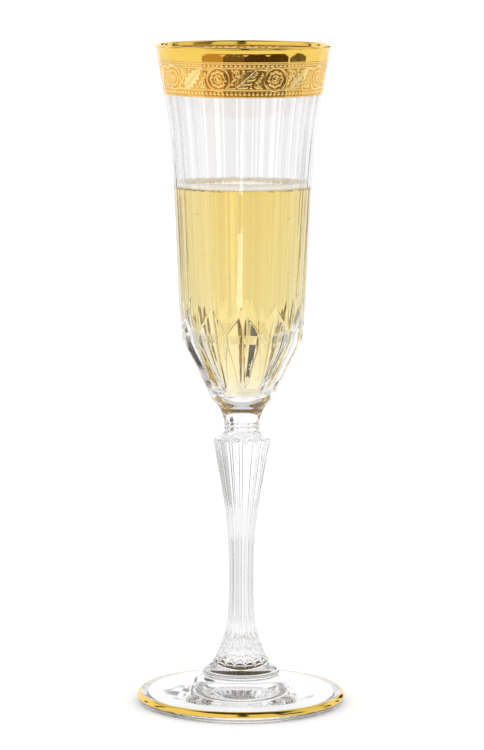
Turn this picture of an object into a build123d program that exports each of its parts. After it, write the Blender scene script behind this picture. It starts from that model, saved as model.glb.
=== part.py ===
"""Champagne flute: a cut-crystal bowl, a welded neck, a fluted stem, a conical foot and fired gold bands.

Millimetres. +Z up, origin at the centre of the foot's resting plane, the whole flute round the Z axis.
Every part is its own solid; neighbours meet face to face.
"""
from build123d import *
from math import cos, pi, radians, sin
import os

# ---- Overall ----
HEIGHT = 235.0                 # resting plane to the top of the gilded lip
GOLD_SKIN = 0.15               # fired gold, drawn thick enough to be a solid

# ---- Joint planes between the glass pieces ----
FOOT_TOP = 12.0                # foot boss to stem
NECK_RING_BOTTOM = 98.0        # stem to weld collar
NECK_RING_TOP = 100.6          # weld collar to bowl

# ---- Bowl, outside ----
PATTERN_TURN = 1.3             # degrees that the panels and cuts are turned about Z
PANEL_COUNT = 24               # flat optic panels round the bowl
PANEL_STATIONS = [             # (height, radius over the panel edges)
    (100.0, 22.3),
    (134.0, 22.3),
    (160.0, 23.1),
    (180.0, 24.0),
    (195.0, 24.95),
    (207.0, 26.1),
    (217.0, 27.65),
    (235.5, 30.9),
]
PANEL_TOP = 232.7              # the flat panels give way to the turned lip
SHOULDER_Z = 132.2             # upright panels end and the taper to the neck starts
SHOULDER_R = 22.34
TAPER_END = (10.45, 109.3)     # radius, height where the straight taper rounds into the neck
NECK_CURVE = [(6.3, 101.6), (6.75, 103.3), (8.1, 106.4)]
NECK_TOP_R = 6.35
NECK_RING_R = 6.2              # collar radius where it meets the stem
LIP_Z = HEIGHT - GOLD_SKIN     # crown of the glass lip
LIP_OUTER_R = 30.85
LIP_INNER_R = 29.55
LIP_ROUND = (LIP_OUTER_R - LIP_INNER_R) / 2
LIP_WAIST = [(30.24, 231.3), (30.17, PANEL_TOP), (30.45, 233.5)]    # turned flare below the lip
PANEL_CLEAR_R = 31.8           # clear of the widest panel edge, gold included

# ---- Bowl, inside ----
CAVITY_POINTS = [              # (radius, height) up the inner wall
    (0.0, 111.6),
    (2.7, 111.75),
    (5.4, 112.7),
    (8.6, 116.5),
    (12.0, 122.4),
    (16.9, 134.0),
    (19.5, 150.0),
    (21.9, 174.0),
    (23.6, 195.0),
    (25.9, 214.0),
    (LIP_INNER_R, LIP_Z - LIP_ROUND),
]

# ---- Pointed cuts round the lower bowl ----
CUT_COUNT = 12
CUT_FLANK_RISE = 0.50          # how fast each side of the V rises, radial over sideways
CUT_HALF_WIDTH = 9.0
CUT_FLOOR = [                  # (height, radius) down the crease of one cut
    (150.8, 24.9),
    (134.1, 18.7),
    (131.5, 18.55),
    (128.0, 17.5),
    (122.0, 15.4),
    (116.5, 13.15),
    (112.4, 12.5),
]

# ---- Stem ----
FLUTE_COUNT = 16
FLUTE_TURN = 8.85              # degrees from +X to the first ridge
FLUTE_DEPTH = 0.08             # hollow of a flute as a share of the radius over its ridges
STEM_RIDGE = [                 # (height, radius over the ridges)
    (12.2, 12.6),
    (14.4, 10.35),
    (20.8, 7.2),
    (30.5, 4.95),
    (43.0, 4.4),
    (55.0, 4.6),
    (68.5, 5.75),
    (82.0, 7.95),
    (98.5, 11.1),
]
SKIRT_Z = 14.9                 # smooth skirt that ends the flutes above the foot

# ---- Foot ----
FOOT_R = 37.2
FOOT_REST_INNER_R = 30.5       # the underside is hollowed inside this radius
FOOT_REST_OUTER_R = 35.2
FOOT_HOLLOW_Z = 2.4
FOOT_EDGE_TOP = (35.6, 4.05)   # radius, height where the rounded edge meets the cone
BOSS_BASE = (19.0, 7.57)       # the cone ends here and sweeps up to the boss
BOSS_FILLET_MIDDLE = (15.4, 8.7)
BOSS_BEAD_LOW = (13.25, 10.3)
BOSS_BEAD_WIDEST = (13.8, 11.2)
BOSS_TOP_R = 13.0

# ---- Gold ----
BAND_BOTTOM = 217.6            # lower edge of the etched frieze band
FRIEZE_TOP = 229.8             # where the etched frieze gives way to plain polished gold
GOLD_INSIDE_Z = 233.2          # the gold wraps over the lip and ends inside at this height
BAND_MID_WALL_R = 26.95        # inside the glass wall at the band's lower edge

# ---- Contents ----
WINE_LEVEL = 185.2
FROTH_TOP = 187.7
FROTH_WIDTH = 3.6              # how far the froth reaches in from the wall
FROTH_WALL_R = 22.95           # inner wall beside the froth
FROTH_CREST = 0.6              # thickness of the froth at its top


def turned(section):
    """Solid of revolution about Z from a face drawn as (radius, height)."""
    return revolve(Plane.XZ * section, axis=Axis.Z)


def outline_face(*edges):
    """Face inside a closed outline whose edges are drawn as (radius, height)."""
    return make_face(Curve() + list(edges))


def section_between(section, low, high):
    """The part of a (radius, height) section between two heights."""
    above = Pos(-5, high) * Rectangle(60, HEIGHT, align=(Align.MIN, Align.MIN))
    below = Pos(-5, low) * Rectangle(60, HEIGHT, align=(Align.MIN, Align.MAX))
    return section - above - below


def height_block(low, high):
    """Block that keeps one band of a solid."""
    block = Box(90, 90, high - low, align=(Align.CENTER, Align.CENTER, Align.MIN))
    return Pos(0, 0, low) * block


def panelled_prism(grow=0.0):
    """Upright panels: a many-sided tube lofted through the panel stations."""
    sections = [
        Plane.XY.offset(z) * RegularPolygon(r + grow, PANEL_COUNT, rotation=PATTERN_TURN)
        for z, r in PANEL_STATIONS
    ]
    panels = loft(sections) & height_block(PANEL_STATIONS[0][0], PANEL_TOP)
    clear_height = HEIGHT + 1 - PANEL_TOP
    above = Cylinder(PANEL_CLEAR_R + 1, clear_height, align=(Align.CENTER, Align.CENTER, Align.MIN))
    return panels + Pos(0, 0, PANEL_TOP) * above


def lip_arc(grow, side):
    """Quarter of the rounded lip: side 1 falls outwards from the crown, side -1 inwards."""
    middle_r = (LIP_OUTER_R + LIP_INNER_R) / 2
    radius = LIP_ROUND + grow
    centre_z = LIP_Z - LIP_ROUND
    return ThreePointArc(
        (middle_r, centre_z + radius),
        (middle_r + side * radius * sin(pi / 4), centre_z + radius * cos(pi / 4)),
        (middle_r + side * radius, centre_z),
    )


def lip_flare(grow):
    """Turned surface that trims the panels' edges and flares up into the lip."""
    waist = [(r + grow, z) for r, z in LIP_WAIST]
    flare = Spline(waist[1], waist[2], lip_arc(grow, 1) @ 1, tangents=[(0, 1), (0, 1)])
    return [Line(waist[0], waist[1]), flare]


def cavity_wall():
    """Inner wall of the bowl from the axis at its floor up to the lip."""
    return Spline(*CAVITY_POINTS)


def wall_section():
    """Half section of the bowl, with its upright wall left thick for the panels to trim."""
    neck = Spline((NECK_TOP_R, NECK_RING_TOP), *NECK_CURVE, TAPER_END)
    outer_lip = lip_arc(0.0, 1)
    inner_lip = lip_arc(0.0, -1)
    return outline_face(
        Line((0, NECK_RING_TOP), (NECK_TOP_R, NECK_RING_TOP)),
        neck,
        Line(TAPER_END, (SHOULDER_R, SHOULDER_Z)),
        Line((SHOULDER_R, SHOULDER_Z), (PANEL_CLEAR_R, 150.0)),
        Line((PANEL_CLEAR_R, 150.0), (PANEL_CLEAR_R, LIP_WAIST[0][1])),
        Line((PANEL_CLEAR_R, LIP_WAIST[0][1]), LIP_WAIST[0]),
        *lip_flare(0.0),
        outer_lip,
        inner_lip,
        cavity_wall(),
        Line(CAVITY_POINTS[0], (0, NECK_RING_TOP)),
    )


def cut_tool():
    """One pointed cut: a wide V lofted down its floor, open towards the outside."""
    outside_r = 34.0
    sections = []
    for z, r in CUT_FLOOR:
        flank_r = r + CUT_FLANK_RISE * CUT_HALF_WIDTH
        outline = Polyline(
            (r, 0),
            (flank_r, CUT_HALF_WIDTH),
            (outside_r, CUT_HALF_WIDTH),
            (outside_r, -CUT_HALF_WIDTH),
            (flank_r, -CUT_HALF_WIDTH),
            close=True,
        )
        sections.append(Plane.XY.offset(z) * make_face(outline))
    return loft(sections, ruled=True)


def make_bowl():
    """Bowl with its neck: panelled wall, pointed cuts and rounded lip."""
    body = turned(wall_section()) & panelled_prism()
    tool = cut_tool()
    for step in range(CUT_COUNT):
        body = body - Rot(0, 0, PATTERN_TURN + 360 * step / CUT_COUNT) * tool
    return body


def make_lip_and_band_gold(bowl):
    """Skin of gold over the panels and the lip, as the two decorated zones."""
    outer_lip = lip_arc(GOLD_SKIN, 1)
    inner_lip = lip_arc(GOLD_SKIN, -1)
    inner_end = (LIP_INNER_R - GOLD_SKIN - 0.12, GOLD_INSIDE_Z)
    mid_wall_top = (LIP_INNER_R + 0.5, GOLD_INSIDE_Z)
    mid_wall_bottom = (BAND_MID_WALL_R, BAND_BOTTOM)
    section = outline_face(
        Line(mid_wall_bottom, (PANEL_CLEAR_R, BAND_BOTTOM)),
        Line((PANEL_CLEAR_R, BAND_BOTTOM), (PANEL_CLEAR_R, LIP_WAIST[0][1])),
        Line((PANEL_CLEAR_R, LIP_WAIST[0][1]), (LIP_WAIST[0][0] + GOLD_SKIN, LIP_WAIST[0][1])),
        *lip_flare(GOLD_SKIN),
        outer_lip,
        inner_lip,
        Line(inner_lip @ 1, inner_end),
        Line(inner_end, mid_wall_top),
        Line(mid_wall_top, mid_wall_bottom),
    )
    skin = (turned(section) & panelled_prism(GOLD_SKIN)) - bowl
    frieze = skin & height_block(BAND_BOTTOM - 1, FRIEZE_TOP)
    lip = skin & height_block(FRIEZE_TOP, HEIGHT + 1)
    return frieze, lip


def fluted_section(radius):
    """Cross-section of the stem: hollow arcs that meet in ridges."""
    pitch = 2 * pi / FLUTE_COUNT
    hollow_r = radius * (1 - FLUTE_DEPTH)
    arcs = []
    for step in range(FLUTE_COUNT):
        start = radians(FLUTE_TURN) + step * pitch
        middle = start + pitch / 2
        end = start + pitch
        arcs.append(ThreePointArc(
            (radius * cos(start), radius * sin(start)),
            (hollow_r * cos(middle), hollow_r * sin(middle)),
            (radius * cos(end), radius * sin(end)),
        ))
    return make_face(Curve() + arcs)


def make_stem():
    """Fluted stem with a rounded shoulder above and a smooth skirt below."""
    fluted = loft([Plane.XY.offset(z) * fluted_section(r) for z, r in STEM_RIDGE])
    skirt_low = SKIRT_Z - 2
    shoulder = outline_face(
        Line((0, skirt_low), (20, skirt_low)),
        Line((20, skirt_low), (20, 90.0)),
        Line((20, 90.0), (10.5, 94.0)),
        Spline(
            (10.5, 94.0),
            (9.9, 95.35),
            (8.2, 96.3),
            (NECK_RING_R, NECK_RING_BOTTOM),
            tangents=[(-0.1, 1), (-0.2, 1)],
        ),
        Line((NECK_RING_R, NECK_RING_BOTTOM), (0, NECK_RING_BOTTOM)),
        Line((0, NECK_RING_BOTTOM), (0, skirt_low)),
    )
    skirt = outline_face(
        Line((0, FOOT_TOP), (BOSS_TOP_R, FOOT_TOP)),
        Spline((BOSS_TOP_R, FOOT_TOP), (12.25, 12.8), (9.7, SKIRT_Z)),
        Line((9.7, SKIRT_Z), (0, SKIRT_Z)),
        Line((0, SKIRT_Z), (0, FOOT_TOP)),
    )
    return (fluted & turned(shoulder)) + turned(skirt)


def foot_edge():
    """Rounded outer edge of the foot, as the arcs below and above its widest circle."""
    widest = (FOOT_R - GOLD_SKIN, 1.9)
    lower = ThreePointArc((FOOT_REST_OUTER_R, 0), (36.45, 0.62), widest)
    upper = ThreePointArc(widest, (36.75, 3.2), FOOT_EDGE_TOP)
    return [lower, upper]


def make_foot():
    """Conical disc foot: hollowed underside, flat resting ring, rounded edge, beaded boss."""
    hollow_middle = (FOOT_REST_INNER_R * 0.55, FOOT_HOLLOW_Z * 0.62)
    section = outline_face(
        ThreePointArc((0, FOOT_HOLLOW_Z), hollow_middle, (FOOT_REST_INNER_R, 0)),
        Line((FOOT_REST_INNER_R, 0), (FOOT_REST_OUTER_R, 0)),
        *foot_edge(),
        Line(FOOT_EDGE_TOP, BOSS_BASE),
        ThreePointArc(BOSS_BASE, BOSS_FILLET_MIDDLE, BOSS_BEAD_LOW),
        ThreePointArc(BOSS_BEAD_LOW, BOSS_BEAD_WIDEST, (BOSS_TOP_R, FOOT_TOP)),
        Line((BOSS_TOP_R, FOOT_TOP), (0, FOOT_TOP)),
        Line((0, FOOT_TOP), (0, FOOT_HOLLOW_Z)),
    )
    return turned(section)


def make_foot_gold_line():
    """Gold line fired onto the upper half of the foot's rounded edge."""
    inner = foot_edge()[1].trim(0.08, 0.98)
    raised = []
    for share in (0.0, 0.5, 1.0):
        along = inner % share
        raised.append(inner @ share + GOLD_SKIN * Vector(along.Y, -along.X))
    outer = ThreePointArc(*raised)
    return turned(outline_face(inner, Line(inner @ 1, outer @ 1), outer, Line(outer @ 0, inner @ 0)))


def make_neck_ring():
    """Weld collar between bowl and stem, with one shallow groove round it."""
    groove = Spline(
        (NECK_RING_R, NECK_RING_BOTTOM),
        (6.05, 98.55),
        (6.3, 99.1),
        tangents=[(-0.3, 1), (0.3, 1)],
    )
    section = outline_face(
        Line((0, NECK_RING_BOTTOM), (NECK_RING_R, NECK_RING_BOTTOM)),
        groove,
        Spline((6.3, 99.1), (6.35, 99.9), (NECK_TOP_R, NECK_RING_TOP)),
        Line((NECK_TOP_R, NECK_RING_TOP), (0, NECK_RING_TOP)),
        Line((0, NECK_RING_TOP), (0, NECK_RING_BOTTOM)),
    )
    return turned(section)


def cavity_section():
    """Half section of the space inside the bowl."""
    wall = cavity_wall()
    top = CAVITY_POINTS[-1]
    return outline_face(
        wall,
        Line(top, (0, top[1])),
        Line((0, top[1]), CAVITY_POINTS[0]),
    )


def make_wine():
    """Wine that fills the cavity up to its level."""
    return turned(section_between(cavity_section(), NECK_RING_TOP, WINE_LEVEL))


def make_froth():
    """Froth collar that creeps up the wall above the wine."""
    foot_r = FROTH_WALL_R - FROTH_WIDTH
    crest_r = FROTH_WALL_R - FROTH_CREST
    spare = 1.0
    hollow = outline_face(
        Line((-spare, WINE_LEVEL - spare), (foot_r, WINE_LEVEL - spare)),
        Line((foot_r, WINE_LEVEL - spare), (foot_r, WINE_LEVEL)),
        Spline((foot_r, WINE_LEVEL), (crest_r - 1.0, WINE_LEVEL + 0.8), (crest_r, FROTH_TOP)),
        Line((crest_r, FROTH_TOP), (crest_r, FROTH_TOP + spare)),
        Line((crest_r, FROTH_TOP + spare), (-spare, FROTH_TOP + spare)),
        Line((-spare, FROTH_TOP + spare), (-spare, WINE_LEVEL - spare)),
    )
    return turned(section_between(cavity_section(), WINE_LEVEL, FROTH_TOP) - hollow)


bowl = make_bowl()
frieze_gold, lip_gold = make_lip_and_band_gold(bowl)

nodes = {
    "foot": make_foot(),
    "foot_gold_line": make_foot_gold_line(),
    "stem": make_stem(),
    "neck_ring": make_neck_ring(),
    "bowl": bowl,
    "frieze_gold_band": frieze_gold,
    "lip_gold_band": lip_gold,
    "champagne": make_wine(),
    "champagne_froth": make_froth(),
}

os.makedirs("parts", exist_ok=True)
for name, shape in nodes.items():
    export_step(shape, f"parts/{name}.step")
    print(name, round(shape.volume, 2), "mm3")
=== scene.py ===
"""Champagne flute: cut-crystal bowl, fluted stem, gilded rim and foot, on a pale studio sweep.

Lengths here are millimetres until a mesh is made, and metres in Blender. The flute's axis is Z.
"""
import math
import random

import bmesh
import bpy
import numpy as np
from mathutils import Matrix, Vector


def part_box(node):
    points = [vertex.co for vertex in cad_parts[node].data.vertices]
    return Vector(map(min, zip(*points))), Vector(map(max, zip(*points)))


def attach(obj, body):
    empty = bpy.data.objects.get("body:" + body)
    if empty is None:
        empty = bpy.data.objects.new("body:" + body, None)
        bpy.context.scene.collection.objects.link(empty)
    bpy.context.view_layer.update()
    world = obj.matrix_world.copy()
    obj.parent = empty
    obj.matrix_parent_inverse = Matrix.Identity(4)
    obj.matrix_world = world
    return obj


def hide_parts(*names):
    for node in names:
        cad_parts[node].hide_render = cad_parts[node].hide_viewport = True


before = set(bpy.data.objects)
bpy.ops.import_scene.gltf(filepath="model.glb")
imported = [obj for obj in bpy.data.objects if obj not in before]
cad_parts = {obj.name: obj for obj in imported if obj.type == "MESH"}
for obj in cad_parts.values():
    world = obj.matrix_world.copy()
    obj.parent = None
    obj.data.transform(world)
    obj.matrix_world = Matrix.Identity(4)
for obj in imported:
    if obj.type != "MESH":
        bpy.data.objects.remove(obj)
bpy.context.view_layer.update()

MM = 0.001


def height_of(node, top=True):
    """Lowest or highest point of a CAD node, in millimetres."""
    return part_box(node)[1 if top else 0].z / MM


def radius_of(node):
    """Largest radius of a CAD node about the axis, in millimetres."""
    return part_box(node)[1].x / MM


# ---- Heights read from the frame ----
FOOT_TOP = height_of("foot")
NECK_RING_BOTTOM = height_of("neck_ring", top=False)
NECK_RING_TOP = height_of("neck_ring")
FRIEZE_BOTTOM = height_of("frieze_gold_band", top=False)
FRIEZE_TOP = height_of("frieze_gold_band")
WINE_FLOOR = height_of("champagne", top=False)
WINE_LEVEL = height_of("champagne")
LIP_Z = height_of("bowl")

# ---- Shape of the bowl, as in the CAD model ----
PATTERN_TURN = math.radians(1.3)
PANEL_COUNT = 24
PANEL_STATIONS = [(100.0, 22.3), (134.0, 22.3), (160.0, 23.1), (180.0, 24.0), (195.0, 24.95),
                  (207.0, 26.1), (217.0, 27.65), (235.5, 30.9)]
PANEL_TOP = 232.7
SHOULDER = (132.2, 22.34)
TAPER_END = (109.3, 10.45)
NECK_POINTS = [(100.6, 6.35), (101.6, 6.3), (103.3, 6.75), (106.4, 8.1), TAPER_END]
CAVITY_POINTS = [(112.7, 5.4), (116.5, 8.6), (122.4, 12.0), (134.0, 16.9), (150.0, 19.5),
                 (174.0, 21.9), (195.0, 23.6), (214.0, 25.9), (234.2, 29.55)]
LIP_OUTER_R = 30.85
LIP_INNER_R = 29.55
LIP_ROUND = (LIP_OUTER_R - LIP_INNER_R) / 2
LIP_FLARE = [(231.3, 30.24), (PANEL_TOP, 30.17), (233.5, 30.45), (234.2, LIP_OUTER_R)]
CUT_COUNT = 12
CUT_FLANK_RISE = 0.50
CUT_FLOOR = [(150.8, 24.9), (134.1, 18.7), (131.5, 18.55), (128.0, 17.5), (122.0, 15.4), (116.5, 13.15),
             (112.4, 12.5)]
EDGE_SOFTNESS = 0.06           # how round the fire-polished edges between surfaces are
RIPPLE_DEPTH = 0.055           # waves of the inner wall

# ---- Gold ----
GOLD_SKIN = 0.15
GOLD_SINK = 0.03               # the skin's inner face lies this far inside the glass

# ---- Shape of the stem ----
FLUTE_COUNT = 16
FLUTE_TURN = math.radians(8.85)
FLUTE_DEPTH = 0.08
STEM_RIDGE = [(12.2, 12.6), (14.4, 10.35), (20.8, 7.2), (30.5, 4.95), (43.0, 4.4), (55.0, 4.6),
              (68.5, 5.75), (82.0, 7.95), (98.5, 11.1)]
SHOULDER_CAP = [(90.0, 20.0), (94.0, 10.5), (95.35, 9.9), (96.3, 8.2), (97.2, 6.95), (98.0, 6.2)]
SKIRT = [(11.9, 13.05), (12.8, 12.25), (14.9, 9.7), (16.5, 8.3)]
WELD_OVERLAP = 0.04            # fused pieces reach this far into each other

# ---- Shape of the foot: (radius, height) ----
FOOT_R = radius_of("foot_gold_line")
FOOT_WIDEST = (FOOT_R - GOLD_SKIN, 1.9)
FOOT_REST = (30.5, 35.2)
FOOT_EDGE_TOP = (35.6, 4.05)
BOSS_BASE = (19.0, 7.57)
BOSS_FILLET_MIDDLE = (15.4, 8.7)
BOSS_BEAD_LOW = (13.25, 10.3)
BOSS_BEAD_WIDEST = (13.8, 11.2)
BOSS_TOP = (13.0, FOOT_TOP)


# ======================================================================================
# Curves and meshes
# ======================================================================================

def smooth_curve(points):
    """Function through (position, value) points: a monotone cubic, so it never overshoots."""
    xs = np.array([p[0] for p in points], float)
    ys = np.array([p[1] for p in points], float)
    gaps = np.diff(xs)
    slopes = np.diff(ys) / gaps
    tangents = np.empty(len(xs))
    tangents[0], tangents[-1] = slopes[0], slopes[-1]
    for i in range(1, len(xs) - 1):
        if slopes[i - 1] * slopes[i] <= 0:
            tangents[i] = 0.0
        else:
            w1 = 2 * gaps[i] + gaps[i - 1]
            w2 = gaps[i] + 2 * gaps[i - 1]
            tangents[i] = (w1 + w2) / (w1 / slopes[i - 1] + w2 / slopes[i])

    def value(x):
        x = np.clip(np.asarray(x, float), xs[0], xs[-1])
        i = np.clip(np.searchsorted(xs, x, side="right") - 1, 0, len(gaps) - 1)
        t = (x - xs[i]) / gaps[i]
        return (
            ys[i] * (1 + 2 * t) * (1 - t) ** 2
            + tangents[i] * gaps[i] * t * (1 - t) ** 2
            + ys[i + 1] * t * t * (3 - 2 * t)
            + tangents[i + 1] * gaps[i] * t * t * (t - 1)
        )
    return value


def soft_min(a, b, softness=EDGE_SOFTNESS):
    """The smaller of two radii, with the edge between them rounded."""
    gap = np.abs(a - b)
    return np.minimum(a, b) - softness * np.log1p(np.exp(-gap / softness))


def soft_max(a, b, softness=EDGE_SOFTNESS):
    """The larger of two radii, with the corner between them filled."""
    return -soft_min(-a, -b, softness)


def turn_angles(count):
    """Evenly spaced angles round the axis."""
    return np.arange(count) * 2 * math.pi / count


def lathe_mesh(name, rows, start_centre=True, end_centre=True):
    """Mesh from rows of (radius array, height array) over evenly spaced angles, closed round the axis.

    A centre closes the first or last row with a point on the axis; without one that end joins the other."""
    count = max(len(np.atleast_1d(r)) for r, _ in rows)
    angles = turn_angles(count)
    cos, sin = np.cos(angles), np.sin(angles)
    verts = []
    for r, z in rows:
        r = np.broadcast_to(r, count)
        z = np.broadcast_to(z, count)
        verts.append(np.stack([r * cos, r * sin, z], axis=1))
    total_rows = len(verts)
    verts = list(np.concatenate(verts) * MM)
    faces = []
    wrap = not start_centre and not end_centre
    for row in range(total_rows if wrap else total_rows - 1):
        low = row * count
        high = ((row + 1) % total_rows) * count
        for i in range(count):
            j = (i + 1) % count
            faces.append((low + i, low + j, high + j, high + i))
    if start_centre:
        verts.append(np.array([0, 0, float(np.mean(rows[0][1]))]) * MM)
        tip = len(verts) - 1
        faces += [(tip, (i + 1) % count, i) for i in range(count)]
    if end_centre:
        verts.append(np.array([0, 0, float(np.mean(rows[-1][1]))]) * MM)
        tip = len(verts) - 1
        last = (total_rows - 1) * count
        faces += [(tip, last + i, last + (i + 1) % count) for i in range(count)]
    return add_mesh(name, verts, faces)


def add_mesh(name, verts, faces):
    """Object with this mesh, shaded smooth."""
    mesh = bpy.data.meshes.new(name)
    mesh.from_pydata([tuple(v) for v in verts], [], faces)
    mesh.validate()
    mesh.update()
    mesh.polygons.foreach_set("use_smooth", [True] * len(mesh.polygons))
    piece = bpy.data.objects.new(name, mesh)
    bpy.context.scene.collection.objects.link(piece)
    return piece


def place(piece, material, slot, *nodes):
    """Gives a piece its material, its CAD body and the CAD nodes it stands for."""
    piece.data.materials.append(material)
    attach(piece, "root")
    if nodes:
        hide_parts(*nodes)
    return piece


# ======================================================================================
# Shape of the glass
# ======================================================================================

panel_radius = smooth_curve(PANEL_STATIONS)
cavity_radius = smooth_curve(CAVITY_POINTS)
neck_radius = smooth_curve(NECK_POINTS)
ridge_radius = smooth_curve(STEM_RIDGE)
cap_radius = smooth_curve(SHOULDER_CAP)
skirt_radius = smooth_curve(SKIRT)
flare_radius = smooth_curve(LIP_FLARE)


def panels(angles, z):
    """Radius of the flat panels at each angle."""
    pitch = 2 * math.pi / PANEL_COUNT
    from_edge = (angles - PATTERN_TURN) % pitch
    from_middle = from_edge - pitch / 2
    flat_r = panel_radius(z) * math.cos(pitch / 2)
    here = flat_r / np.cos(from_middle)
    beside = flat_r / np.cos(pitch - np.abs(from_middle))
    return soft_min(here, beside, 0.015)


def cut_floor(z):
    """Radius down the crease of a cut."""
    heights, radii = zip(*sorted(CUT_FLOOR))
    return np.interp(z, heights, radii)


def pointed_cuts(angles, z):
    """Radius of the V cuts at each angle, where they are nearest."""
    pitch = 2 * math.pi / CUT_COUNT
    across = (angles - PATTERN_TURN + pitch / 2) % pitch - pitch / 2
    crease = 0.012
    sideways = np.sqrt(np.sin(across) ** 2 + crease ** 2) - crease
    return cut_floor(z) / (np.cos(across) - CUT_FLANK_RISE * sideways)


def round_body(z):
    """Radius of the plain turned body: neck, straight taper, and nothing above the shoulder."""
    if z <= TAPER_END[0]:
        return float(neck_radius(z))
    low_z, low_r = TAPER_END
    slope = (SHOULDER[1] - low_r) / (SHOULDER[0] - low_z)
    return low_r + (z - low_z) * slope


def bowl_outside(angles, z):
    """Radius of the bowl's outer surface at each angle."""
    turned = round_body(z)
    if z < TAPER_END[0]:
        return np.full(len(angles), turned)
    r = soft_min(np.full(len(angles), turned), panels(angles, z), 0.12)
    if CUT_FLOOR[-1][0] - 0.5 < z < CUT_FLOOR[0][0]:
        r = soft_min(r, pointed_cuts(angles, z))
    if z > LIP_FLARE[0][0]:
        lip = np.full(len(angles), float(flare_radius(z)))
        r = soft_min(r, lip, 0.03) if z < PANEL_TOP else lip
    return r


def lip_rows(grow=0.0, steps=10):
    """Rows over the rounded lip from its outer to its inner side."""
    middle = (LIP_OUTER_R + LIP_INNER_R) / 2
    centre_z = LIP_Z - LIP_ROUND
    rows = []
    for turn in np.linspace(0, math.pi, steps + 1):
        radius = LIP_ROUND + grow
        rows.append((middle + radius * math.cos(turn), centre_z + radius * math.sin(turn)))
    return rows


def blown_ripple(angles, seed=3):
    """Upright waves that pressing leaves in the inner wall, under a tenth of a millimetre deep."""
    rng = random.Random(seed)
    wave = np.zeros(len(angles))
    for _ in range(30):
        count = rng.randint(12, 110)
        wave += rng.uniform(0.3, 1.0) / count ** 0.8 * np.cos(count * angles + rng.uniform(0, 2 * math.pi))
    return RIPPLE_DEPTH * wave / np.abs(wave).max()


def make_bowl(columns=480):
    """Bowl: outer surface up from the neck, over the lip, and down the cavity to its floor."""
    angles = turn_angles(columns)
    ripple = blown_ripple(angles)
    heights = np.concatenate([
        np.linspace(NECK_RING_TOP - WELD_OVERLAP, 112.0, 20, endpoint=False),
        np.linspace(112.0, 148.0, 104, endpoint=False),
        np.linspace(148.0, 231.0, 21, endpoint=False),
        np.linspace(231.0, LIP_Z - LIP_ROUND, 15, endpoint=False),
    ])
    rows = [(bowl_outside(angles, z), z) for z in heights]
    rows += lip_rows()
    inner = np.linspace(CAVITY_POINTS[-1][0], CAVITY_POINTS[0][0], 34)[1:]
    for z in inner:
        fade = min(1.0, (LIP_Z - z) / 8, (z - CAVITY_POINTS[0][0]) / 30)
        rows.append((float(cavity_radius(z)) + ripple * fade, z))
    floor_r, floor_z = CAVITY_POINTS[0][1], CAVITY_POINTS[0][0]
    for share in (0.85, 0.66, 0.45, 0.2):
        rows.append((floor_r * share, WINE_FLOOR + (floor_z - WINE_FLOOR) * share ** 2.2))
    return lathe_mesh("crystal_bowl", rows)


def make_stem(columns=320):
    """Stem: hollow flutes between sharp ridges, a rounded shoulder above and a smooth skirt below."""
    angles = turn_angles(columns)
    across = ((angles - FLUTE_TURN) * FLUTE_COUNT / (2 * math.pi)) % 1.0
    hollow = 1 - FLUTE_DEPTH * (1 - (2 * across - 1) ** 2)
    heights = np.concatenate([
        np.linspace(FOOT_TOP - WELD_OVERLAP, 16.5, 40, endpoint=False),
        np.linspace(16.5, 92.5, 60, endpoint=False),
        np.linspace(92.5, NECK_RING_BOTTOM + WELD_OVERLAP, 45),
    ])
    rows = []
    for z in heights:
        r = float(ridge_radius(z)) * hollow
        if z > 90.0:
            r = soft_min(r, np.full(columns, float(cap_radius(z))), 0.08)
        if z < SKIRT[-1][0]:
            r = soft_max(r, np.full(columns, float(skirt_radius(z))), 0.06)
        rows.append((r, z))
    return lathe_mesh("fluted_stem", rows)


def arc_points(start, middle, end, steps):
    """Points on the circle through three (radius, height) points."""
    (ax, ay), (bx, by), (cx, cy) = start, middle, end
    d = 2 * (ax * (by - cy) + bx * (cy - ay) + cx * (ay - by))
    ux = ((ax**2 + ay**2) * (by - cy) + (bx**2 + by**2) * (cy - ay) + (cx**2 + cy**2) * (ay - by)) / d
    uy = ((ax**2 + ay**2) * (cx - bx) + (bx**2 + by**2) * (ax - cx) + (cx**2 + cy**2) * (bx - ax)) / d
    radius = math.hypot(ax - ux, ay - uy)
    first = math.atan2(ay - uy, ax - ux)
    mid = math.atan2(by - uy, bx - ux)
    last = math.atan2(cy - uy, cx - ux)
    sweep = (last - first) % (2 * math.pi)
    if (mid - first) % (2 * math.pi) > sweep:
        sweep -= 2 * math.pi
    return [
        (ux + radius * math.cos(first + sweep * i / steps), uy + radius * math.sin(first + sweep * i / steps))
        for i in range(steps + 1)
    ]


def foot_upper_edge(steps=14):
    """Points up the rounded upper half of the foot's edge."""
    return arc_points(FOOT_WIDEST, (36.75, 3.2), FOOT_EDGE_TOP, steps)


def make_foot(columns=320):
    """Foot: hollowed underside, flat resting ring, rounded edge, cone and boss."""
    rest_in, rest_out = FOOT_REST
    under = arc_points((0.0, 2.4), (rest_in * 0.55, 1.49), (rest_in, 0.0), 16)[1:]
    lower = arc_points((rest_out, 0.0), (36.45, 0.62), FOOT_WIDEST, 8)
    upper = foot_upper_edge()[1:]
    cone = [
        (FOOT_EDGE_TOP[0] + (BOSS_BASE[0] - FOOT_EDGE_TOP[0]) * t,
         FOOT_EDGE_TOP[1] + (BOSS_BASE[1] - FOOT_EDGE_TOP[1]) * t)
        for t in np.linspace(0, 1, 12)[1:]
    ]
    boss = arc_points(BOSS_BASE, BOSS_FILLET_MIDDLE, BOSS_BEAD_LOW, 14)[1:]
    boss += arc_points(BOSS_BEAD_LOW, BOSS_BEAD_WIDEST, BOSS_TOP, 12)[1:]
    top = [(BOSS_TOP[0] * s, FOOT_TOP) for s in (0.97, 0.7, 0.35)]
    return lathe_mesh("foot_glass", profile_rows(under + lower + upper + cone + boss + top, columns))


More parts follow.
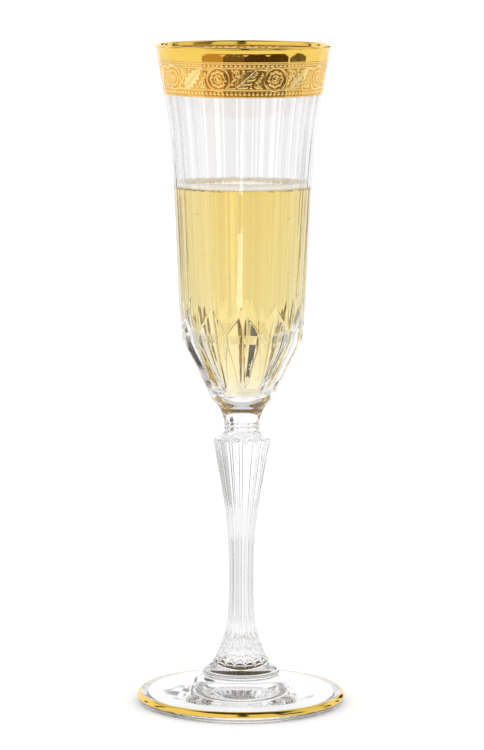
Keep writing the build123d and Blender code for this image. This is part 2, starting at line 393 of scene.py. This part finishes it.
def profile_rows(points, columns):
    """Lathe rows of a plain turned profile."""
    return [(np.full(columns, r), z) for r, z in points]


def make_foot_line(columns=320):
    """Gold line over the upper half of the foot's edge; its face against the glass has its own material."""
    edge = foot_upper_edge(18)[1:-1]
    outer, inner = [], []
    for i, (r, z) in enumerate(edge):
        before, after = edge[max(i - 1, 0)], edge[min(i + 1, len(edge) - 1)]
        along = (after[0] - before[0], after[1] - before[1])
        length = math.hypot(*along)
        out = (along[1] / length, -along[0] / length)
        fade = min(i, len(edge) - 1 - i, 2) / 2
        skin = 0.03 + (GOLD_SKIN - 0.04) * fade
        outer.append((r + out[0] * skin, z + out[1] * skin))
        inner.append((r - out[0] * GOLD_SINK, z - out[1] * GOLD_SINK))
    line = lathe_mesh("foot_gilding", profile_rows(outer + inner[::-1], columns), False, False)
    for side in line.data.polygons:
        side.material_index = int(side.index >= len(outer) * columns)
    return line


def make_neck_ring(columns=192):
    """Weld collar with its shallow groove."""
    low, high = NECK_RING_BOTTOM, NECK_RING_TOP
    profile = [(3.0, low), (6.17, low)]
    profile += arc_points((6.22, low + 0.02), (6.07, low + 0.5), (6.3, low + 1.05), 8)
    profile += arc_points((6.32, low + 1.1), (6.36, low + 1.8), (6.14, high), 8)[1:]
    profile += [(3.0, high)]
    return lathe_mesh("weld_collar", profile_rows(profile, columns))


# ======================================================================================
# Gilding
# ======================================================================================

FRIEZE_REPEATS = 9
FRIEZE_HEIGHT = FRIEZE_TOP - FRIEZE_BOTTOM
REPEAT_WIDTH = 2 * math.pi * 29.0 / FRIEZE_REPEATS
BEAD_PITCH = REPEAT_WIDTH / 13
FRIEZE_TURN = math.radians(-90 - 17.5)      # a rosette's centre lies here


def near_line(x, y, points, width):
    """How strongly each place is covered by a soft line of this half-width through the points."""
    cover = np.zeros_like(x)
    for (x0, y0), (x1, y1) in zip(points, points[1:]):
        dx, dy = x1 - x0, y1 - y0
        t = np.clip(((x - x0) * dx + (y - y0) * dy) / (dx * dx + dy * dy), 0, 1)
        distance = np.hypot(x - x0 - t * dx, y - y0 - t * dy)
        cover = np.maximum(cover, np.clip(1.3 - distance / width, 0, 1))
    return cover


def rosette(x, y):
    """Eight-petalled flower with a ringed centre."""
    angle = np.arctan2(y, x)
    out = np.hypot(x, y)
    petals = np.clip(1.3 - np.abs(out - 2.25 - 0.4 * np.abs(np.cos(4 * angle))) / 0.32, 0, 1)
    ring = np.clip(1.3 - np.abs(out - 1.25) / 0.2, 0, 1)
    centre = np.clip(1.5 - out / 0.6, 0, 1)
    return np.maximum(np.maximum(petals, ring), centre)


def scroll(x, y, radius, start, sweep, wind=0.8, steps=28):
    """Points of a curl that winds in towards its centre; angles in degrees."""
    points = []
    for i in range(steps + 1):
        turn = math.radians(start + sweep * i / steps)
        r = radius * (1 - wind * i / steps)
        points.append((x + r * math.cos(turn), y + r * math.sin(turn)))
    return points


def acanthus(x, y, base, tip, half_width, lobes=5):
    """Raised acanthus leaf with lobed edges, a sunk mid-rib and a vein into every lobe."""
    along = np.array(tip) - np.array(base)
    length = np.hypot(*along)
    forward = along / length
    t = ((x - base[0]) * forward[0] + (y - base[1]) * forward[1]) / length
    across = (y - base[1]) * forward[0] - (x - base[0]) * forward[1]
    span = np.clip(t, 0, 1)
    lobe = 0.66 + 0.34 * np.abs(np.sin(math.pi * lobes * span))
    width = half_width * np.sin(math.pi * span ** 0.8) ** 0.7 * lobe
    leaf = np.clip(0.6 + (width - np.abs(across)) / 0.25, 0, 1) * ((t > 0) & (t < 1))
    swept = t - 0.11 * np.abs(across)
    vein = np.abs((swept * lobes + 0.5) % 1.0 - 0.5) * length / lobes
    groove = np.maximum(np.clip(1.3 - np.abs(across) / 0.22, 0, 1), np.clip(1.2 - vein / 0.2, 0, 1))
    return leaf * (1 - 0.75 * groove)


MIDDLE_Y = 6.5                 # height of the rosettes above the frieze's lower edge
LEAF_BASE = (6.3, 3.2)
LEAF_TIP = (13.9, 10.0)
SCROLLWORK = [
    scroll(0, MIDDLE_Y, 4.2, -50, 345, 0.06),                       # round the rosette
    [(2.7, 3.3), (4.6, 3.1), LEAF_BASE],                            # stalk into the leaf
    [LEAF_TIP, (15.6, 10.0), (17.4, 9.6)],                          # stalk on to the next rosette
    scroll(6.7, 8.3, 1.55, 250, -500),
    scroll(13.9, 4.8, 1.55, 70, -500),
    [(5.0, 5.7), (6.2, 6.75)],
    [(15.3, 7.4), (14.3, 6.35)],
]
BUDS = [(4.9, 5.0, 0.42), (15.5, 8.2, 0.42), (5.1, 9.7, 0.36), (15.3, 3.6, 0.36), (8.9, 9.5, 0.4),
        (11.6, 3.7, 0.4)]


def frieze_relief(columns, rows):
    """Height of the ornament over one repeat, from 0 in the ground to 1 on the raised lines."""
    x = (np.arange(columns) / columns - 0.5) * REPEAT_WIDTH
    y = np.linspace(0, FRIEZE_HEIGHT, rows)
    x, y = np.meshgrid(x, y)
    relief = rosette(x, y - MIDDLE_Y)
    for level in (0.3, 2.75, 10.35, 11.9):
        relief = np.maximum(relief, np.clip(1.3 - np.abs(y - level) / 0.16, 0, 1))
    for shift in (-REPEAT_WIDTH, 0.0):
        relief = np.maximum(relief, acanthus(x - shift, y, LEAF_BASE, LEAF_TIP, 2.4))
        for line in SCROLLWORK:
            relief = np.maximum(relief, near_line(x - shift, y, line, 0.27))
        for bud_x, bud_y, radius in BUDS:
            out = np.hypot(x - shift - bud_x, y - bud_y)
            relief = np.maximum(relief, np.clip(1.5 - out / radius, 0, 1))
    beside_bead = (x + BEAD_PITCH / 2) % BEAD_PITCH - BEAD_PITCH / 2
    beads = np.clip(1.7 - np.hypot(beside_bead, y - 1.52) / 0.36, 0, 1)
    dashes = np.clip(1.7 - np.maximum(np.abs(beside_bead) / 0.36, np.abs(y - 11.12) / 0.2), 0, 1)
    return np.maximum(relief, np.maximum(beads, dashes))


def make_frieze(per_repeat=120, rows=78):
    """Gold frieze band with its ornament in relief, closed behind inside the glass."""
    columns = per_repeat * FRIEZE_REPEATS
    angles = turn_angles(columns)
    heights = np.linspace(FRIEZE_BOTTOM, FRIEZE_TOP, rows)
    relief = frieze_relief(per_repeat, rows)
    shift = int(round((FRIEZE_TURN % (2 * math.pi)) / (2 * math.pi) * columns))
    relief = np.roll(np.tile(relief, (1, FRIEZE_REPEATS)), shift - per_repeat // 2, axis=1)
    front = [
        (panels(angles, z) + 0.02 + (GOLD_SKIN - 0.02) * relief[i], z)
        for i, z in enumerate(heights)
    ]
    back = [(panels(angles, z) - GOLD_SINK, z) for z in (FRIEZE_TOP, FRIEZE_BOTTOM)]
    band = lathe_mesh("etched_frieze", front + back, False, False)
    store_relief(band, np.concatenate([relief.ravel(), np.zeros(2 * columns)]))
    return band


def store_relief(piece, values):
    """Keeps the height of the ornament on the mesh, so that the material can tell raised from ground."""
    layer = piece.data.attributes.new("relief", "FLOAT", "POINT")
    layer.data.foreach_set("value", np.asarray(values, dtype=np.float32))


def make_gold_lip(columns=480):
    """Polished gold from the frieze up over the lip and just inside it."""
    angles = turn_angles(columns)
    heights = np.concatenate([
        np.linspace(FRIEZE_TOP, 232.0, 8, endpoint=False),
        np.linspace(232.0, LIP_Z - LIP_ROUND, 12, endpoint=False),
    ])
    inside = np.linspace(LIP_Z - LIP_ROUND, 233.2, 4)[1:]
    front = [(bowl_outside(angles, z) + GOLD_SKIN, z) for z in heights]
    front += lip_rows(GOLD_SKIN)
    front += [(float(cavity_radius(z)) - GOLD_SKIN, z) for z in inside]
    back = [(float(cavity_radius(z)) + GOLD_SINK, z) for z in inside[::-1]]
    back += lip_rows(-GOLD_SINK)[::-1]
    back += [(bowl_outside(angles, z) - GOLD_SINK, z) for z in heights[::-1]]
    return lathe_mesh("gilded_lip", front + back, False, False)


# ======================================================================================
# Champagne
# ======================================================================================

def make_wine(columns=240):
    """Champagne: reaches a hair into the glass, so that light passes straight from one to the other."""
    heights = np.linspace(CAVITY_POINTS[0][0], WINE_LEVEL, 70)
    floor_r, floor_z = CAVITY_POINTS[0][1], CAVITY_POINTS[0][0]
    rows = []
    for share in (0.2, 0.45, 0.66, 0.85):
        rows.append((floor_r * share, WINE_FLOOR - 0.05 + (floor_z - WINE_FLOOR) * share ** 2.2))
    rows += [(float(cavity_radius(z)) + 0.05, z) for z in heights]
    rows += [(float(cavity_radius(WINE_LEVEL)) * s, WINE_LEVEL) for s in (0.96, 0.6, 0.25)]
    return lathe_mesh("wine", [(np.full(columns, float(r)), z) for r, z in rows])


def bubble_cloud(name, bubbles):
    """One mesh of many small round bubbles, each given as (x, y, z, radius) in millimetres."""
    seed_mesh = bpy.data.meshes.new("seed")
    bm = bmesh.new()
    bmesh.ops.create_icosphere(bm, subdivisions=1, radius=1.0)
    bm.to_mesh(seed_mesh)
    bm.free()
    base = np.array([v.co[:] for v in seed_mesh.vertices])
    sides = [tuple(p.vertices) for p in seed_mesh.polygons]
    bpy.data.meshes.remove(seed_mesh)
    verts, faces = [], []
    for x, y, z, radius in bubbles:
        start = len(verts)
        verts.extend((base * radius + (x, y, z)) * MM)
        faces.extend(tuple(start + i for i in side) for side in sides)
    return add_mesh(name, verts, faces)


FROTH_SLOPE = [(0.0, 2.35), (0.35, 2.42), (0.7, 1.9), (1.1, 1.1), (1.6, 0.55), (2.1, 0.2)]
froth_height = smooth_curve(FROTH_SLOPE)


def make_froth_body(columns=360):
    """Froth collar: a low bank of foam that climbs the wall, uneven along its inner edge."""
    angles = turn_angles(columns)
    rng = random.Random(11)
    uneven = np.zeros(columns)
    for count in (3, 5, 8, 13, 21, 34):
        uneven += np.cos(count * angles + rng.uniform(0, 2 * math.pi)) / count ** 0.6
    uneven *= 0.10
    lower_behind = 0.65 - 0.35 * np.sin(angles)
    wall = float(cavity_radius(WINE_LEVEL + 1)) - 0.10
    rows = [(np.full(columns, wall - inward), WINE_LEVEL + 0.01) for inward in (2.3, 0.1)]
    for inward in np.linspace(0, 2.1, 20):
        height = float(froth_height(inward)) * (1 + 0.5 * uneven) * lower_behind
        if inward == 0:
            edge = np.full(columns, float(cavity_radius(WINE_LEVEL + height.mean())) - 0.10)
        else:
            edge = wall - inward * (1 + uneven)
        rows.append((edge, WINE_LEVEL + height))
    return lathe_mesh("froth_bank", rows, False, False)


def froth_bubbles(rng, count=1100, width=2.6):
    """Bubbles in the face of the froth, crowded against the wall and thinning out inwards."""
    wall = float(cavity_radius(WINE_LEVEL + 1)) - 0.15
    bubbles = []
    for _ in range(count):
        inward = width * rng.random() ** 1.4
        radius = rng.uniform(0.10, 0.30)
        turn = rng.uniform(0, 2 * math.pi)
        r = wall - radius - inward
        z = WINE_LEVEL + float(froth_height(inward)) * (0.65 - 0.35 * math.sin(turn))
        bubbles.append((r * math.cos(turn), r * math.sin(turn), z, radius))
    return bubbles


def rising_bubbles(rng):
    """Fine bubbles scattered at random through the wine, more of them towards its top."""
    bubbles = []
    for _ in range(220):
        z = WINE_FLOOR + 6 + (WINE_LEVEL - WINE_FLOOR - 8) * rng.random() ** 0.6
        turn = rng.uniform(0, 2 * math.pi)
        r = (float(cavity_radius(z)) - 0.4) * math.sqrt(rng.uniform(0.2, 1.0))
        bubbles.append((r * math.cos(turn), r * math.sin(turn), z, rng.uniform(0.06, 0.16)))
    return bubbles


# ======================================================================================
# Materials
# ======================================================================================

def material_with(name):
    """New material, its node tree and its principled shader."""
    material = bpy.data.materials.new(name)
    material.use_nodes = True
    tree = material.node_tree
    return material, tree, tree.nodes["Principled BSDF"]


def noise(tree, scale, detail=3.0):
    """Noise texture in the object's own coordinates."""
    where = tree.nodes.new("ShaderNodeTexCoord")
    texture = tree.nodes.new("ShaderNodeTexNoise")
    texture.inputs["Scale"].default_value = scale
    texture.inputs["Detail"].default_value = detail
    tree.links.new(where.outputs["Object"], texture.inputs["Vector"])
    return texture


def bump(tree, source, shader, strength, distance):
    """Feeds a height output into the shader's normal."""
    node = tree.nodes.new("ShaderNodeBump")
    node.inputs["Strength"].default_value = strength
    node.inputs["Distance"].default_value = distance
    tree.links.new(source, node.inputs["Height"])
    tree.links.new(node.outputs["Normal"], shader.inputs["Normal"])


def spread(tree, source, low, high):
    """Turns a 0-1 output into a range."""
    node = tree.nodes.new("ShaderNodeMapRange")
    node.inputs["To Min"].default_value = low
    node.inputs["To Max"].default_value = high
    tree.links.new(source, node.inputs["Value"])
    return node.outputs["Result"]


def crystal_material():
    """Clear crystal glass, very slightly wavy from its fire polish."""
    material, tree, shader = material_with("lead_crystal")
    shader.inputs["Base Color"].default_value = (1.0, 1.0, 1.0, 1.0)
    shader.inputs["Roughness"].default_value = 0.0
    shader.inputs["IOR"].default_value = 1.54
    shader.inputs["Transmission Weight"].default_value = 1.0
    bump(tree, noise(tree, 60.0, 1.0).outputs["Fac"], shader, 0.03, 0.0004)
    return material


def weld_material():
    """Where two pieces of crystal are fused there is no surface, and light passes straight through."""
    material, _, shader = material_with("fused_joint")
    shader.inputs["Alpha"].default_value = 0.0
    return material


def gold_material():
    """Burnished fired gold with faint brush wear."""
    material, tree, shader = material_with("burnished_gold")
    shader.inputs["Metallic"].default_value = 1.0
    shader.inputs["Base Color"].default_value = (0.88, 0.59, 0.11, 1.0)
    wear = noise(tree, 400.0, 4.0)
    tree.links.new(spread(tree, wear.outputs["Fac"], 0.07, 0.17), shader.inputs["Roughness"])
    bump(tree, noise(tree, 700.0, 2.0).outputs["Fac"], shader, 0.04, 0.00002)
    return material


def gold_back_material():
    """Matt brown underside of fired gold, as seen through the glass."""
    material, tree, shader = material_with("fired_gold_back")
    grain = noise(tree, 2500.0, 3.0)
    ramp = tree.nodes.new("ShaderNodeValToRGB")
    ramp.color_ramp.elements[0].color = (0.20, 0.16, 0.10, 1.0)
    ramp.color_ramp.elements[1].color = (0.34, 0.28, 0.18, 1.0)
    tree.links.new(grain.outputs["Fac"], ramp.inputs["Fac"])
    tree.links.new(ramp.outputs["Color"], shader.inputs["Base Color"])
    shader.inputs["Roughness"].default_value = 0.55
    return material


def etched_gold_painted_light_material():
    """Etched gold: base colour painted paler on the raised ornament as a painted highlight and darker in the
    ground between as painted shade; the ground is grainy and a little rougher.
    """
    material, tree, shader = material_with("etched_gold")
    shader.inputs["Metallic"].default_value = 1.0
    relief = tree.nodes.new("ShaderNodeAttribute")
    relief.attribute_name = "relief"
    # Painted highlight and painted shade: the base colour runs from dark orange in the ground to pale yellow
    # on the raised ornament, by the relief height.
    ramp = tree.nodes.new("ShaderNodeValToRGB")
    ramp.color_ramp.elements[0].color = (0.80, 0.44, 0.07, 1.0)
    ramp.color_ramp.elements[1].color = (1.0, 0.78, 0.34, 1.0)
    tree.links.new(relief.outputs["Fac"], ramp.inputs["Fac"])
    tree.links.new(ramp.outputs["Color"], shader.inputs["Base Color"])
    tree.links.new(spread(tree, relief.outputs["Fac"], 0.24, 0.2), shader.inputs["Roughness"])
    bump(tree, noise(tree, 3000.0, 3.0).outputs["Fac"], shader, 0.25, 0.00003)
    return material


def wine_material():
    """Pale golden champagne, its colour from its depth."""
    material, tree, shader = material_with("champagne_wine")
    shader.inputs["Base Color"].default_value = (1.0, 1.0, 1.0, 1.0)
    shader.inputs["Roughness"].default_value = 0.0
    shader.inputs["IOR"].default_value = 1.34
    shader.inputs["Transmission Weight"].default_value = 1.0
    absorb = tree.nodes.new("ShaderNodeVolumeAbsorption")
    absorb.inputs["Color"].default_value = (0.975, 0.85, 0.25, 1.0)
    absorb.inputs["Density"].default_value = 46.0
    tree.links.new(absorb.outputs["Volume"], tree.nodes["Material Output"].inputs["Volume"])
    return material


def froth_material():
    """White froth of fine bubbles."""
    material, tree, shader = material_with("froth_bubbles")
    shader.inputs["Base Color"].default_value = (1.0, 0.95, 0.84, 1.0)
    shader.inputs["Roughness"].default_value = 0.25
    shader.inputs["IOR"].default_value = 1.33
    cells = tree.nodes.new("ShaderNodeTexVoronoi")
    cells.inputs["Scale"].default_value = 2600.0
    where = tree.nodes.new("ShaderNodeTexCoord")
    tree.links.new(where.outputs["Object"], cells.inputs["Vector"])
    bump(tree, cells.outputs["Distance"], shader, 0.25, 0.0001)
    return material


def air_material():
    """Air bubble inside wine: light bends the other way."""
    material, _, shader = material_with("air_in_wine")
    shader.inputs["Roughness"].default_value = 0.0
    shader.inputs["IOR"].default_value = 0.75
    shader.inputs["Transmission Weight"].default_value = 1.0
    return material


def floor_material():
    """White matt sweep with a very faint paper grain."""
    material, tree, shader = material_with("white_sweep")
    grain = noise(tree, 900.0, 3.0)
    ramp = tree.nodes.new("ShaderNodeValToRGB")
    ramp.color_ramp.elements[0].color = (0.89, 0.89, 0.895, 1.0)
    ramp.color_ramp.elements[1].color = (0.91, 0.91, 0.915, 1.0)
    tree.links.new(grain.outputs["Fac"], ramp.inputs["Fac"])
    tree.links.new(ramp.outputs["Color"], shader.inputs["Base Color"])
    shader.inputs["Roughness"].default_value = 0.9
    shader.inputs["Specular IOR Level"].default_value = 0.1
    return material


# ======================================================================================
# Camera, floor and light
# ======================================================================================

def make_camera():
    """Long lens, looking slightly down at the flute."""
    data = bpy.data.cameras.new("camera")
    data.lens = 176.45
    data.sensor_width = 36.0
    camera = bpy.data.objects.new("camera", data)
    camera.location = (0.0, -1.29167, 0.29442)
    camera.rotation_euler = (math.radians(90 - 7.780), math.radians(-0.22), math.radians(0.031))
    bpy.context.scene.collection.objects.link(camera)
    bpy.context.scene.camera = camera


def make_floor():
    """Wide flat floor."""
    half = 30.0
    under = -0.05 * MM
    verts = [(-half, -half, under), (half, -half, under), (half, half, under), (-half, half, under)]
    mesh = bpy.data.meshes.new("floor")
    mesh.from_pydata(verts, [], [(0, 1, 2, 3)])
    floor = bpy.data.objects.new("floor", mesh)
    mesh.materials.append(floor_material())
    bpy.context.scene.collection.objects.link(floor)


def card_material(name, colour):
    """Matt card of this colour in the gold, and nearly black inside the crystal."""
    material, tree, shader = material_with(name)
    path = tree.nodes.new("ShaderNodeLightPath")
    mix = tree.nodes.new("ShaderNodeMix")
    mix.data_type = "RGBA"
    mix.inputs["A"].default_value = (*colour, 1.0)
    mix.inputs["B"].default_value = (0.01, 0.01, 0.01, 1.0)
    tree.links.new(path.outputs["Transmission Depth"], mix.inputs["Factor"])
    tree.links.new(mix.outputs["Result"], shader.inputs["Base Color"])
    shader.inputs["Roughness"].default_value = 0.8
    shader.inputs["Specular IOR Level"].default_value = 0.0
    return material


# Dark and bright panels of the studio: (direction in degrees, half width, elevation, half height, light).
# Directions run from the side away from the camera, with the right-hand side positive.
STUDIO_PANELS = [
    (180, 104, 2, 16, 0.9),        # pale walls at the sides and behind the camera
    (-4, 66, 5, 29, 1.1),          # white backdrop
    (0, 75, 54, 18, 0.8),          # and the bounce card above it
    (27, 6, 3, 16, 0.0),           # black flags to the right of its middle
    (44, 3, 3, 14, 0.02),
    (-50, 3, 3, 14, 0.1),          # and one to the left
    (-100, 22, 38, 18, 1.3),       # left-hand soft box
    (112, 14, 30, 14, 0.9),        # right-hand soft box
    (180, 55, 17, 7, 0.9),         # strip light above the camera
]

# What only a first reflection meets, as in the gold: a dark band behind the camera, and soft light
# above it with two gaps.
MIRRORED_PANELS = [
    (180, 76, 21, 8, 0.03),
    (-130, 46, 32, 22, 1.0),
    (153, 18, 32, 22, 0.9),
    (84, 18, 32, 22, 0.9),
]
ROOM_LIGHT = 0.03              # between the panels
PLAIN_LIGHT = 1.2              # what the camera and matt surfaces see instead of the panels
PANEL_SOFTNESS = (1.5, 6.0)    # degrees of soft edge at a panel's sides, and at its top and bottom


def math_node(tree, operation, *values):
    """Math node of this operation; each value is a number or another node's output."""
    node = tree.nodes.new("ShaderNodeMath")
    node.operation = operation
    for socket, value in zip(node.inputs, values):
        if isinstance(value, (int, float)):
            socket.default_value = value
        else:
            tree.links.new(value, socket)
    return node.outputs[0]


def inside_span(tree, angle, half, soft):
    """1 where the angle is under the half width, 0 beyond it, with a soft edge."""
    span = tree.nodes.new("ShaderNodeMapRange")
    span.interpolation_type = "SMOOTHSTEP"
    span.inputs["From Min"].default_value = half + soft
    span.inputs["From Max"].default_value = half - soft
    tree.links.new(angle, span.inputs["Value"])
    return span.outputs["Result"]


def make_world():
    """Studio: plain white for the camera and for matt surfaces, and the panels for gold and crystal."""
    world = bpy.data.worlds.new("studio")
    bpy.context.scene.world = world
    world.use_nodes = True
    tree = world.node_tree
    tree.nodes.clear()
    where = tree.nodes.new("ShaderNodeTexCoord")
    split = tree.nodes.new("ShaderNodeSeparateXYZ")
    tree.links.new(where.outputs["Generated"], split.inputs[0])
    to_degrees = 180 / math.pi
    side_softness, top_softness = PANEL_SOFTNESS
    turn = math_node(tree, "ARCTAN2", split.outputs["X"], split.outputs["Y"])
    turn = math_node(tree, "MULTIPLY", turn, to_degrees)
    height = math_node(tree, "MULTIPLY", math_node(tree, "ARCSINE", split.outputs["Z"]), to_degrees)
    light = ROOM_LIGHT
    path = tree.nodes.new("ShaderNodeLightPath")
    first = math_node(tree, "LESS_THAN", path.outputs["Transmission Depth"], 0.5)
    every_panel = [(*panel, 1.0) for panel in STUDIO_PANELS]
    every_panel += [(*panel, first) for panel in MIRRORED_PANELS]
    for direction, half_width, elevation, half_height, brightness, shown in every_panel:
        wrapped = math_node(tree, "WRAP", turn, direction + 180.0, direction - 180.0)
        sideways = math_node(tree, "ABSOLUTE", math_node(tree, "SUBTRACT", wrapped, direction))
        upwards = math_node(tree, "ABSOLUTE", math_node(tree, "SUBTRACT", height, elevation))
        panel = math_node(
            tree, "MULTIPLY",
            inside_span(tree, sideways, half_width, side_softness),
            inside_span(tree, upwards, half_height, top_softness),
        )
        panel = math_node(tree, "MULTIPLY", panel, shown)
        change = math_node(tree, "MULTIPLY", panel, math_node(tree, "SUBTRACT", brightness, light))
        light = math_node(tree, "ADD", light, change)
    lit = tree.nodes.new("ShaderNodeBackground")
    lit.inputs["Color"].default_value = (1.0, 1.0, 1.0, 1.0)
    tree.links.new(light, lit.inputs["Strength"])
    plain = tree.nodes.new("ShaderNodeBackground")
    plain.inputs["Color"].default_value = (1.0, 1.0, 1.0, 1.0)
    plain.inputs["Strength"].default_value = PLAIN_LIGHT
    clear = math_node(tree, "LESS_THAN", path.outputs["Diffuse Depth"], 0.5)
    shiny = math_node(tree, "MAXIMUM", path.outputs["Is Glossy Ray"], path.outputs["Is Transmission Ray"])
    mix = tree.nodes.new("ShaderNodeMixShader")
    tree.links.new(math_node(tree, "MULTIPLY", clear, shiny), mix.inputs["Fac"])
    tree.links.new(plain.outputs[0], mix.inputs[1])
    tree.links.new(lit.outputs[0], mix.inputs[2])
    output = tree.nodes.new("ShaderNodeOutputWorld")
    tree.links.new(mix.outputs[0], output.inputs["Surface"])


# Flat cards on the floor, in metres from the flute's axis.
CARD_HEIGHT = 0.0004
CARD_FAR = 6.0
TABLE_NEAR = 0.42
SWEEP_NEAR = 0.05


def flat_ring(name, near, far, left, right, material):
    """Sector of a flat ring just above the floor, between two turns from the camera's side."""
    steps = 72
    turns = [math.radians(left + (right - left) * i / steps) for i in range(steps + 1)]
    verts = [np.array((r * math.sin(t), -r * math.cos(t), CARD_HEIGHT)) for r in (near, far) for t in turns]
    faces = [(i, i + 1, steps + 2 + i, steps + 1 + i) for i in range(steps)]
    card = add_mesh(name, verts, faces)
    card.data.materials.append(material)
    card.visible_camera = False
    card.visible_diffuse = False
    card.visible_shadow = False
    return card


# Table in front of the glass, which the gold mirrors: (name, left and right in degrees, colour).
TABLE_CARDS = [
    ("tan_table", -50, -21, (0.50, 0.30, 0.14)),
    ("brown_table", -21, -4, (0.11, 0.06, 0.03)),
    ("dark_table", -4, 58, (0.06, 0.03, 0.015)),
    ("table_edge", 77, 84, (0.05, 0.03, 0.015)),
]

# Light of the sweep as the crystal and the wine see it, in bright and dark strips:
# (degrees from the side away from the camera, with the right-hand side positive; light).
SWEEP_LIGHT = [
    (-180, 0.9), (-90, 0.9), (-84, 0.05), (-72, 0.02), (-60, 0.5), (-54, 0.6), (-50, 0.05), (-44, 0.05),
    (-38, 0.9), (-34, 0.1), (-30, 0.9), (-19, 1.0), (-16, 0.15), (-13, 1.0), (0, 0.85), (3, 1.1),
    (8, 1.1), (11, 0.2), (14, 1.0), (18, 0.9), (22, 0.05), (28, 0.05), (32, 0.9), (38, 0.8),
    (42, 0.05), (48, 0.05), (52, 0.6), (58, 0.5), (66, 0.02), (78, 0.05), (84, 0.9),
]


def glow_material(name, strength):
    """Plain light of this strength."""
    material = bpy.data.materials.new(name)
    material.use_nodes = True
    tree = material.node_tree
    tree.nodes.clear()
    glow = tree.nodes.new("ShaderNodeEmission")
    glow.inputs["Strength"].default_value = strength
    output = tree.nodes.new("ShaderNodeOutputMaterial")
    tree.links.new(glow.outputs[0], output.inputs["Surface"])
    return material


def sweep_material():
    """Glow of the sweep: SWEEP_LIGHT's strips, evened out near the foot and far off behind the flute."""
    material = bpy.data.materials.new("sweep_light")
    material.use_nodes = True
    tree = material.node_tree
    tree.nodes.clear()
    where = tree.nodes.new("ShaderNodeTexCoord")
    split = tree.nodes.new("ShaderNodeSeparateXYZ")
    tree.links.new(where.outputs["Object"], split.inputs[0])
    turn = math_node(tree, "ARCTAN2", split.outputs["X"], split.outputs["Y"])
    share = math_node(tree, "ADD", math_node(tree, "DIVIDE", turn, 2 * math.pi), 0.5)
    ramp = tree.nodes.new("ShaderNodeValToRGB")
    stops = ramp.color_ramp.elements
    stops.remove(stops[0])
    for direction, light in SWEEP_LIGHT:
        stop = stops.new((direction + 180) / 360)
        stop.color = (light, light, light, 1.0)
    stops.remove(stops[-1])
    tree.links.new(share, ramp.inputs["Fac"])
    distance = tree.nodes.new("ShaderNodeVectorMath")
    distance.operation = "LENGTH"
    tree.links.new(where.outputs["Object"], distance.inputs[0])
    near = tree.nodes.new("ShaderNodeMapRange")
    near.inputs["From Min"].default_value = 0.05
    near.inputs["From Max"].default_value = 0.15
    near.inputs["To Min"].default_value = 1.05
    near.inputs["To Max"].default_value = 0.0
    tree.links.new(distance.outputs["Value"], near.inputs["Value"])
    path = tree.nodes.new("ShaderNodeLightPath")
    matt = math_node(tree, "GREATER_THAN", path.outputs["Diffuse Depth"], 0.5)
    far = tree.nodes.new("ShaderNodeMapRange")
    far.inputs["From Min"].default_value = 0.52
    far.inputs["From Max"].default_value = 0.68
    far.inputs["To Max"].default_value = 0.9
    tree.links.new(distance.outputs["Value"], far.inputs["Value"])
    degrees = math_node(tree, "ABSOLUTE", math_node(tree, "MULTIPLY", turn, 180 / math.pi))
    ahead = math_node(tree, "MULTIPLY", far.outputs["Result"], inside_span(tree, degrees, 50.0, 8.0))
    even = math_node(tree, "MAXIMUM", math_node(tree, "MULTIPLY", matt, 2.0), near.outputs["Result"])
    even = math_node(tree, "MAXIMUM", even, ahead)
    glow = tree.nodes.new("ShaderNodeEmission")
    tree.links.new(math_node(tree, "MAXIMUM", ramp.outputs["Color"], even), glow.inputs["Strength"])
    output = tree.nodes.new("ShaderNodeOutputMaterial")
    tree.links.new(glow.outputs[0], output.inputs["Surface"])
    return material


def weld_caps(piece, weld, heights):
    """Gives the flat end faces at these heights the fused-joint material."""
    piece.data.materials.append(weld)
    for side in piece.data.polygons:
        z = side.center.z / MM
        level = any(abs(z - h) < 0.015 for h in heights)
        if level and abs(side.normal.z) > 0.999:
            side.material_index = 1


bpy.context.scene.view_settings.view_transform = "Standard"
paths = bpy.context.scene.cycles
paths.max_bounces = 40          # light is trapped for many turns in the foot and the stem
paths.transmission_bounces = 40
paths.glossy_bounces = 40
paths.diffuse_bounces = 8
make_camera()
make_floor()
make_world()
for name, left, right, colour in TABLE_CARDS:
    table = flat_ring(name, TABLE_NEAR, CARD_FAR, left, right, card_material(name, colour))
    table.visible_transmission = False
# The sweep's glow and the light under the foot reach the crystal and the wine, and the gold doesn't
# mirror them; the glint is a bright slit of window light.
sweep_light = flat_ring("sweep_light", SWEEP_NEAR, CARD_FAR, -180, 180, sweep_material())
sweep_light.visible_glossy = False
foot_light = flat_ring("foot_light", 0.006, 0.0325, -180, 180, glow_material("foot_light", 0.95))
foot_light.visible_glossy = False
flat_ring("window_glint", 0.64, 0.925, -12.32, -11.98, glow_material("window_glint", 6.5))

crystal = crystal_material()
weld = weld_material()

foot = place(make_foot(), crystal, "glass", "foot")
weld_caps(foot, weld, [FOOT_TOP])
stem = place(make_stem(), crystal, "glass", "stem")
weld_caps(stem, weld, [FOOT_TOP - WELD_OVERLAP, NECK_RING_BOTTOM + WELD_OVERLAP])
collar = place(make_neck_ring(), crystal, "weld_glass", "neck_ring")
weld_caps(collar, weld, [NECK_RING_BOTTOM, NECK_RING_TOP])
bowl = place(make_bowl(), crystal, "glass", "bowl")
weld_caps(bowl, weld, [NECK_RING_TOP - WELD_OVERLAP])

burnished = gold_material()
place(make_gold_lip(), burnished, "gold", "lip_gold_band")
place(make_frieze(), etched_gold_painted_light_material(), "etched_gold", "frieze_gold_band")
foot_line = place(make_foot_line(), burnished, "gold", "foot_gold_line")
foot_line.data.materials.append(gold_back_material())

rng = random.Random(7)
place(make_wine(), wine_material(), "wine", "champagne")
froth = froth_material()
place(make_froth_body(), froth, "froth", "champagne_froth")
place(bubble_cloud("froth_bubbles", froth_bubbles(rng)), froth, "froth")
place(bubble_cloud("fine_bubbles", rising_bubbles(rng)), air_material(), "froth")
